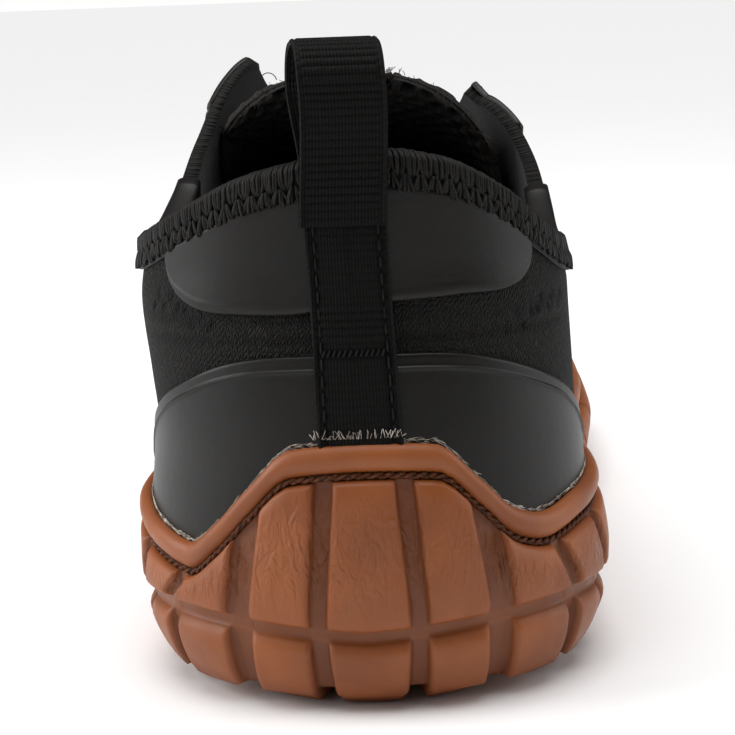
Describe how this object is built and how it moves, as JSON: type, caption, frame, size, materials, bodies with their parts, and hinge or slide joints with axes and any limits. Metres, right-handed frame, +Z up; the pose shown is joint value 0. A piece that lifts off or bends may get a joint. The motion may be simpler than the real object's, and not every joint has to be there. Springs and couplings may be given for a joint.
{
  "type": "knit_sneaker",
  "caption": "Low knit sneaker for a right foot, black, with smooth heel films, a webbing pull tab at the heel and a gum rubber cup sole with block lugs",
  "frame": {"origin": "On the floor under the middle of the shoe's outline", "axes": "+Y from heel to toe, +X to the outer (lateral) side, +Z up"},
  "size_m": [0.102, 0.2816, 0.1052],
  "materials": {
    "gum": "satin",
    "knit": "matte",
    "film": "satin",
    "webbing": "matte",
    "spacer_mesh": "matte",
    "foam": "matte"
  },
  "bodies": {
    "root": {"outsole": "gum", "insole": "foam", "upper": "knit", "heel_film": "film", "collar_patch": "film", "collar_binding": "knit", "heel_strap": "webbing", "pull_loop": "webbing", "eyestay": "film", "tongue": "spacer_mesh", "lace": "webbing"}
  },
  "joints": []
}
